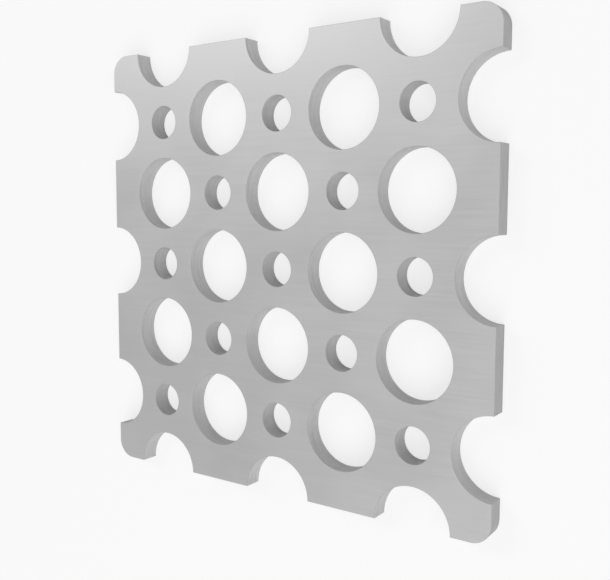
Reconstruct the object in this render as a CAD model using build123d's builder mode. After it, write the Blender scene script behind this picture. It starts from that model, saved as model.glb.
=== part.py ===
"""Perforated metal sheet with round holes of two sizes in a staggered pattern.

The sheet is one flat piece. Its underside lies on the XY plane, centred on the Z axis. Large and
small holes alternate along X and along Y like the squares of a chessboard. The sheet is a whole
number of hole spacings long and wide, so its edges are cut through the centres of the outermost
large holes, which are left as half-round notches. The corners are rounded and have no hole.
"""

import os

from build123d import *

# Sheet, in millimetres
sheet_length = 72.0  # along X
sheet_width = 72.0  # along Y
sheet_thickness = 3.0
corner_radius = 3.0

# Holes
hole_spacing = 24.0  # between holes of one size, along X and along Y
large_hole_diameter = 12.0
small_hole_diameter = 5.5  # clears an M5 screw

# Deburring
edge_break = 0.2

# Spacings from cut edge to cut edge
spacings_along_x = round(sheet_length / hole_spacing)
spacings_along_y = round(sheet_width / hole_spacing)

# Every grid is centred on the sheet. One grid of large holes reaches the edges at each end of the
# length, and the other reaches the edges at each side.
large_hole_grids = (
    GridLocations(hole_spacing, hole_spacing, spacings_along_x + 1, spacings_along_y),
    GridLocations(hole_spacing, hole_spacing, spacings_along_x, spacings_along_y + 1),
)

# The small holes sit halfway between the large ones, and all of them are whole.
small_hole_grids = (
    GridLocations(hole_spacing, hole_spacing, spacings_along_x, spacings_along_y),
    GridLocations(hole_spacing, hole_spacing, spacings_along_x - 1, spacings_along_y - 1),
)

with BuildPart() as perforated_sheet:
    with BuildSketch() as blank:
        RectangleRounded(sheet_length, sheet_width, corner_radius)
        for grid in large_hole_grids:
            with grid:
                Circle(large_hole_diameter / 2, mode=Mode.SUBTRACT)
        for grid in small_hole_grids:
            with grid:
                Circle(small_hole_diameter / 2, mode=Mode.SUBTRACT)
    extrude(amount=sheet_thickness)

    # Both rims of every hole, notch and cut edge are deburred.
    rims = faces().filter_by(Axis.Z).edges()
    chamfer(rims, edge_break)

perforated_sheet.part.label = "perforated_sheet"

os.makedirs("parts", exist_ok=True)
export_step(perforated_sheet.part, "parts/perforated_sheet.step")
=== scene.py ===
from math import cos, radians, sin

import bmesh
import bpy
from mathutils import Matrix, Vector


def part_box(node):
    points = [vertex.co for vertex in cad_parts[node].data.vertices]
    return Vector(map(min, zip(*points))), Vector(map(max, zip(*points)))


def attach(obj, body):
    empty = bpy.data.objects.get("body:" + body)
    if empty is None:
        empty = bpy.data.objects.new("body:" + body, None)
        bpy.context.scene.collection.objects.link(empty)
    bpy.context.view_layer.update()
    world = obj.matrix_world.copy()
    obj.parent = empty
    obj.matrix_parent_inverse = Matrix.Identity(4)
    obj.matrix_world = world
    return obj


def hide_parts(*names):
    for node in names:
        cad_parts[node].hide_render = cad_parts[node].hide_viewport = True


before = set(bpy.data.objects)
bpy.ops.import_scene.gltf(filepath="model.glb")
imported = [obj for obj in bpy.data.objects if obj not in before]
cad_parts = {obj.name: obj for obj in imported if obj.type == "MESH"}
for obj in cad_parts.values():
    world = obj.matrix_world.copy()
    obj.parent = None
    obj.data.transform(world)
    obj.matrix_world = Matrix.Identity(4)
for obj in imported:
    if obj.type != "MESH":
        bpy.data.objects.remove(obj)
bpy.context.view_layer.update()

mm = 0.001  # metres in a millimetre
plateLow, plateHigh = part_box("perforated_sheet")
plateSize = (plateHigh - plateLow) / mm
plateTop = Vector(((plateLow.x + plateHigh.x) / 2, (plateLow.y + plateHigh.y) / 2, plateHigh.z))
print("frame loaded, CAD nodes:", len(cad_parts))


def srgb(hexText):
    # six hex digits as in a colour picker, turned to the linear values that shaders take
    channels = [int(hexText[i:i + 2], 16) / 255 for i in (0, 2, 4)]
    linear = [c / 12.92 if c <= 0.04045 else ((c + 0.055) / 1.055) ** 2.4 for c in channels]
    return (*linear, 1)


def addNode(tree, kind, values=None, links=None, **settings):
    # values and links are keyed by the input's name or number
    node = tree.nodes.new("ShaderNode" + kind)
    for name, value in settings.items():
        setattr(node, name, value)
    for key, value in (values or {}).items():
        node.inputs[key].default_value = value
    for key, source in (links or {}).items():
        tree.links.new(source, node.inputs[key])
    return node


def newTree(name):
    material = bpy.data.materials.new(name)
    material.use_nodes = True
    material.node_tree.nodes.clear()
    return material, material.node_tree


def placeObject(name, mesh, *materials):
    thing = bpy.data.objects.new(name, mesh)
    bpy.context.scene.collection.objects.link(thing)
    for material in materials:
        mesh.materials.append(material)
    return thing


rolledFace = {
    "metallic": 1.0,
    "colour": "AEAEAE",
    "colourSpread": 0.055,  # share of the colour that the pattern adds or takes away
    "edgeTint": "BCBCBC",  # keeps the metal from glaring where it is seen almost edge on
    "roughness": 0.42,
    "roughnessSpread": 0.07,
    "grainWidth": 0.3,  # mm, a bundle of rolling lines, since single ones are too fine to show
    "grainLength": 12.0,
    "grainDetail": 3,
    "cloudSize": 13.0,
    "cloudDetail": 2,
    "cloudShare": 0.5,  # of the pattern, the rest being grain
    "reliefDepth": 0.0036,
}

punchedWall = {
    "metallic": 0.0,  # torn steel is too matt to mirror what is round it
    "colour": "BCBCBC",
    "colourSpread": 0.09,
    "edgeTint": "BCBCBC",
    "roughness": 0.9,
    "roughnessSpread": -0.07,  # the brighter bands are the smoother ones
    "bandWidth": 0.22,  # mm, drawn as coarse as it needs to show
    "bandLength": 4.0,
    "bandDetail": 3,
    "reliefDepth": 0.004,
}

shearedEdge = dict(punchedWall, colour="ABABAB")

noiseRange = {"From Min": 0.3, "From Max": 0.7}  # where nearly all of a noise texture's values lie


def addPattern(tree, place, sizes, detail):
    # noise from 0 to 1, whose blotches have the given sizes in millimetres along X, Y and Z
    scale = [1 / (size * mm) for size in sizes]
    stretched = addNode(tree, "Mapping", {"Scale": scale}, {"Vector": place}).outputs[0]
    noise = addNode(tree, "TexNoise", {"Scale": 1, "Detail": detail}, {"Vector": stretched})
    return addNode(tree, "MapRange", noiseRange, {"Value": noise.outputs["Fac"]}).outputs["Result"]


def finishSteel(tree, look, pattern):
    # one pattern from 0 to 1 drives the colour, the roughness and the relief
    shades = {"To Min": 1 - look["colourSpread"], "To Max": 1 + look["colourSpread"]}
    level = addNode(tree, "MapRange", shades, {"Value": pattern}).outputs["Result"]
    grey = {0: srgb(look["colour"])[:3]}
    colour = addNode(tree, "VectorMath", grey, {"Scale": level}, operation="SCALE").outputs[0]
    spread = look["roughnessSpread"]
    finish = {"To Min": look["roughness"] - spread, "To Max": look["roughness"] + spread}
    rough = addNode(tree, "MapRange", finish, {"Value": pattern}).outputs["Result"]
    raised = {"Strength": 1, "Distance": look["reliefDepth"] * mm}
    bump = addNode(tree, "Bump", raised, {"Height": pattern}).outputs[0]
    metal = {"Metallic": look["metallic"], "Specular Tint": srgb(look["edgeTint"])}
    patterns = {"Base Color": colour, "Roughness": rough, "Normal": bump}
    steel = addNode(tree, "BsdfPrincipled", metal, patterns).outputs[0]
    addNode(tree, "OutputMaterial", links={"Surface": steel})


def makeRolledSteel(name, look):
    # cold rolled sheet, tumbled: a soft satin grey, with a faint grain along its length
    material, tree = newTree(name)
    place = addNode(tree, "TexCoord").outputs["Object"]
    grainSizes = (look["grainLength"], look["grainWidth"], look["grainWidth"])
    grain = addPattern(tree, place, grainSizes, look["grainDetail"])
    clouds = addPattern(tree, place, [look["cloudSize"]] * 3, look["cloudDetail"])
    share = {0: look["cloudShare"]}
    finishSteel(tree, look, addNode(tree, "Mix", share, {2: grain, 3: clouds}).outputs[0])
    return material


def makeCutSteel(name, look):
    # where a punch or a shear tore through: matt, darker away from the lamps, and finely banded
    material, tree = newTree(name)
    place = addNode(tree, "TexCoord").outputs["Object"]
    bandSizes = (look["bandLength"], look["bandLength"], look["bandWidth"])
    finishSteel(tree, look, addPattern(tree, place, bandSizes, look["bandDetail"]))
    return material


sheetMetal = [
    makeRolledSteel("rolledSteel", rolledFace),
    makeCutSteel("punchedSteel", punchedWall),
    makeCutSteel("shearedSteel", shearedEdge),
]
rolled, punched, sheared = range(3)  # their places in the list
print("metal ready")


sheet = {
    "spacing": 24.0,  # mm between holes of one size
    "largeHole": 12.0,
    "smallHole": 5.5,
    "cornerRadius": 3.0,
    "rimRadius": 0.05,  # left on every rim by the tumbling
    "rimSteps": 3,
    "cornerSteps": 24,
    "sideSteps": 24,  # along each side of the square tile round a small hole
    "sharpAngle": 50,  # degrees, past which an edge is shown sharp
}
closeBy = 0.001  # mm, within which two points are one


def addTile(bm, middle, quarter, quarterSteps, hole):
    # one tile of the pattern: a straight-sided outline, bridged to its hole, or filled without one
    # quarter: the outline's corners in one quarter turn
    # quarterSteps: for each of them, how many edges the side that ends there is cut into
    turns = [Matrix.Rotation(radians(90 * i), 3, "Z") for i in range(4)]
    places = [middle + turn @ Vector((*corner, 0)) for turn in turns for corner in quarter]
    corners = [bm.verts.new(place) for place in places]
    sides = [bm.edges.new((corners[i - 1], corners[i])) for i in range(len(corners))]
    outline = []
    for side, steps in zip(sides, quarterSteps * 4):
        split = bmesh.ops.subdivide_edges(bm, edges=[side], cuts=steps - 1)["geom_split"]
        outline += [part for part in split if isinstance(part, bmesh.types.BMEdge)]
    if hole:
        rim = bmesh.ops.create_circle(bm, segments=4 * sum(quarterSteps), radius=hole / 2,
                                      matrix=Matrix.Translation(middle))["verts"]
        rimEdges = list({edge for vert in rim for edge in vert.link_edges})
        bmesh.ops.bridge_loops(bm, edges=outline + rimEdges)
    else:
        bmesh.ops.contextual_create(bm, geom=outline)


def metalOf(face, cornerRadius):
    # rolled on the broad faces, punched in holes and notches, sheared on the outer edges
    if abs(face.normal.z) > abs(face.normal.x) + abs(face.normal.y):
        return rolled
    middle = face.calc_center_median()
    fromEdge = sorted((plateSize.x / 2 - abs(middle.x), plateSize.y / 2 - abs(middle.y)))
    return sheared if fromEdge[0] < closeBy or fromEdge[1] < cornerRadius else punched


def buildSheet(look):
    half = look["spacing"] / 2
    columns, rows = round(plateSize.x / half), round(plateSize.y / half)
    # tiles meet in the middle of the metal between a large hole and a small one
    web = half - look["largeHole"] / 2 - look["smallHole"] / 2
    reach = look["largeHole"] / 2 + web / 2  # of a large hole's octagon
    rest = half - reach  # of a small hole's square
    steps = look["sideSteps"]
    bm = bmesh.new()
    for i in range(columns + 1):
        for j in range(rows + 1):
            middle = Vector(((i - columns / 2) * half, (j - rows / 2) * half, 0))
            if (i + j) % 2:
                octagon = [(reach, -rest), (reach, rest)]
                addTile(bm, middle, octagon, [steps // 2, steps], look["largeHole"])
            else:
                inside = 0 < i < columns and 0 < j < rows
                addTile(bm, middle, [(rest, rest)], [steps], look["smallHole"] if inside else None)
    bmesh.ops.remove_doubles(bm, verts=bm.verts, dist=closeBy)

    # cut along the outermost hole lines, then round the corners
    for cutNormal in ((1, 0, 0), (-1, 0, 0), (0, 1, 0), (0, -1, 0)):
        cutPoint = (cutNormal[0] * plateSize.x / 2, cutNormal[1] * plateSize.y / 2, 0)
        bmesh.ops.bisect_plane(bm, geom=bm.verts[:] + bm.edges[:] + bm.faces[:], dist=closeBy,
                               plane_co=cutPoint, plane_no=cutNormal, clear_outer=True)
    cornerReach = (plateSize.x + plateSize.y) / 2 - closeBy
    corners = [vert for vert in bm.verts if abs(vert.co.x) + abs(vert.co.y) > cornerReach]
    bmesh.ops.bevel(bm, geom=corners, offset=look["cornerRadius"], offset_type="OFFSET",
                    segments=look["cornerSteps"], profile=0.5, affect="VERTICES", material=-1)

    # up to full thickness, then rounded wherever a broad face meets a wall
    raised = bmesh.ops.extrude_face_region(bm, geom=bm.faces[:], use_keep_orig=True)["geom"]
    raised = [part for part in raised if isinstance(part, bmesh.types.BMVert)]
    bmesh.ops.translate(bm, verts=raised, vec=(0, 0, plateSize.z))
    bmesh.ops.recalc_face_normals(bm, faces=bm.faces)
    for face in bm.faces:
        face.smooth = True
        face.material_index = metalOf(face, look["cornerRadius"])
    rims = [edge for edge in bm.edges
            if len({face.material_index == rolled for face in edge.link_faces}) == 2]
    rounds = bmesh.ops.bevel(bm, geom=rims, offset=look["rimRadius"], offset_type="OFFSET",
                             segments=look["rimSteps"], profile=0.5, affect="EDGES", material=-1,
                             face_strength_mode="AFFECTED")["faces"]
    for face in rounds:
        face.material_index = sheared
    for edge in bm.edges:
        edge.smooth = edge.calc_face_angle(0) < radians(look["sharpAngle"])
    bmesh.ops.translate(bm, verts=bm.verts, vec=(plateTop.x / mm, plateTop.y / mm, plateLow.z / mm))
    bmesh.ops.scale(bm, verts=bm.verts, vec=(mm, mm, mm))
    mesh = bpy.data.meshes.new("perforatedSheet")
    bm.to_mesh(mesh)
    bm.free()
    return mesh


sheetObject = placeObject("perforatedSheet", buildSheet(sheet), *sheetMetal)
# keeps the broad faces flat up to their rims
flatten = sheetObject.modifiers.new("flatFaces", "WEIGHTED_NORMAL")
flatten.mode = "CORNER_ANGLE"  # areas are too small in metres for the other modes
flatten.keep_sharp = True
flatten.use_face_influence = True
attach(sheetObject, "root")
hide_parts("perforated_sheet")
print("sheet ready,", len(sheetObject.data.polygons), "faces")


studio = {
    "floorSize": 6.0,  # metres
    "floorGap": 0.01,  # mm between the floor and the sheet, too small to see
    "floorColour": "F4F4F4",
    "floorGlow": 0.69,  # share of the floor that is white by itself, near the sheet
    "whiteFrom": 0.08,  # metres out from the sheet's middle
    "whiteAt": 0.5,
    "skyLight": 0.42,
}

lamps = {
    # azimuth, elevation, distance, width, height and watts, in degrees and metres
    "keyBox": (46, 48, 0.9, 2.0, 0.7, 8.0),
    "topBox": (227, 48, 0.6, 0.2, 0.2, 0.32),
    "backBox": (242, 33, 0.6, 0.2, 0.2, 0.25),
}

cameraView = {
    "azimuth": 99.11,  # 0 looks along +Y, 90 along -X
    "elevation": 55.37,
    "roll": -97.30,  # turns the view so that the sheet's +Y side is up
    "distance": 119.81,  # mm
    "aimX": 6.56,  # mm from the middle of the top face
    "aimY": -1.76,
    "lens": 46.65,
    "sensorWidth": 36.0,
    "shiftX": -0.0100,
    "shiftY": -0.0118,
    "clipStart": 0.001,  # metres
    "clipEnd": 20.0,
}


def directionFrom(azimuth, elevation):
    a, e = radians(azimuth), radians(elevation)
    return Vector((sin(a) * cos(e), -cos(a) * cos(e), sin(e)))


def seenDirectly(tree):
    # 1 where the camera sees the surface, also mirrored in metal, and 0 where it only lights others
    path = addNode(tree, "LightPath").outputs
    seen = {0: path["Is Camera Ray"], 1: path["Is Glossy Ray"]}
    both = addNode(tree, "Math", links=seen, operation="MAXIMUM").outputs[0]
    seen = {0: both, 1: path["Is Transmission Ray"]}
    return addNode(tree, "Math", links=seen, operation="MAXIMUM").outputs[0]


def makeFloor(look):
    # pale paper that keeps the sheet's shadow, part of it white by itself
    material, tree = newTree("paleFloor")
    paper = addNode(tree, "BsdfDiffuse", {"Color": srgb(look["floorColour"])}).outputs[0]
    glow = addNode(tree, "Emission", {"Color": (1, 1, 1, 1), "Strength": 1}).outputs[0]
    # further out all of it is white, so that no edge shows where the floor meets the sky
    place = addNode(tree, "TexCoord").outputs["Object"]
    away = addNode(tree, "VectorMath", links={0: place}, operation="LENGTH").outputs["Value"]
    fade = {"From Min": look["whiteFrom"], "From Max": look["whiteAt"], "To Min": look["floorGlow"]}
    white = addNode(tree, "MapRange", fade, {"Value": away}, interpolation_type="SMOOTHSTEP")
    shown = {0: seenDirectly(tree), 1: white.outputs["Result"]}
    share = addNode(tree, "Math", links=shown, operation="MULTIPLY").outputs[0]
    mixed = addNode(tree, "MixShader", links={0: share, 1: paper, 2: glow}).outputs[0]
    addNode(tree, "OutputMaterial", links={"Surface": mixed})
    bm = bmesh.new()
    bmesh.ops.create_grid(bm, x_segments=1, y_segments=1, size=look["floorSize"] / 2)
    bmesh.ops.translate(bm, verts=bm.verts, vec=(0, 0, plateLow.z - look["floorGap"] * mm))
    mesh = bpy.data.meshes.new("floor")
    bm.to_mesh(mesh)
    bm.free()
    floor = placeObject("floor", mesh, material)


def makeSky(look):
    # white to the camera and in reflections, and a plain level as light
    world = bpy.data.worlds.new("whiteStudio")
    bpy.context.scene.world = world
    world.use_nodes = True
    tree = world.node_tree
    tree.nodes.clear()
    levels = {"To Min": look["skyLight"], "To Max": 1}
    strength = addNode(tree, "MapRange", levels, {"Value": seenDirectly(tree)}).outputs["Result"]
    sky = addNode(tree, "Background", {"Color": (1, 1, 1, 1)}, {"Strength": strength}).outputs[0]
    addNode(tree, "OutputWorld", links={"Surface": sky})


def addLamp(name, azimuth, elevation, distance, width, height, watts):
    lamp = bpy.data.lights.new(name, "AREA")
    lamp.shape = "RECTANGLE"
    lamp.size, lamp.size_y, lamp.energy = width, height, watts
    towards = directionFrom(azimuth, elevation)
    holder = bpy.data.objects.new(name, lamp)
    holder.location = plateTop + towards * distance
    holder.rotation_euler = towards.to_track_quat("Z", "Y").to_euler()
    bpy.context.scene.collection.objects.link(holder)


def addCamera(look):
    camera = bpy.data.cameras.new("camera")
    camera.lens, camera.sensor_width = look["lens"], look["sensorWidth"]
    camera.shift_x, camera.shift_y = look["shiftX"], look["shiftY"]
    camera.clip_start, camera.clip_end = look["clipStart"], look["clipEnd"]
    back = directionFrom(look["azimuth"], look["elevation"])
    holder = bpy.data.objects.new("camera", camera)
    holder.rotation_mode = "QUATERNION"
    roll = Matrix.Rotation(radians(look["roll"]), 3, "Z").to_quaternion()
    holder.rotation_quaternion = back.to_track_quat("Z", "Y") @ roll
    aim = plateTop + Vector((look["aimX"], look["aimY"], 0)) * mm
    holder.location = aim + back * look["distance"] * mm
    bpy.context.scene.collection.objects.link(holder)
    bpy.context.scene.camera = holder


makeFloor(studio)
makeSky(studio)
for lampName, lampValues in lamps.items():
    addLamp(lampName, *lampValues)
addCamera(cameraView)
bpy.context.scene.view_settings.view_transform = "Standard"
print("studio ready")
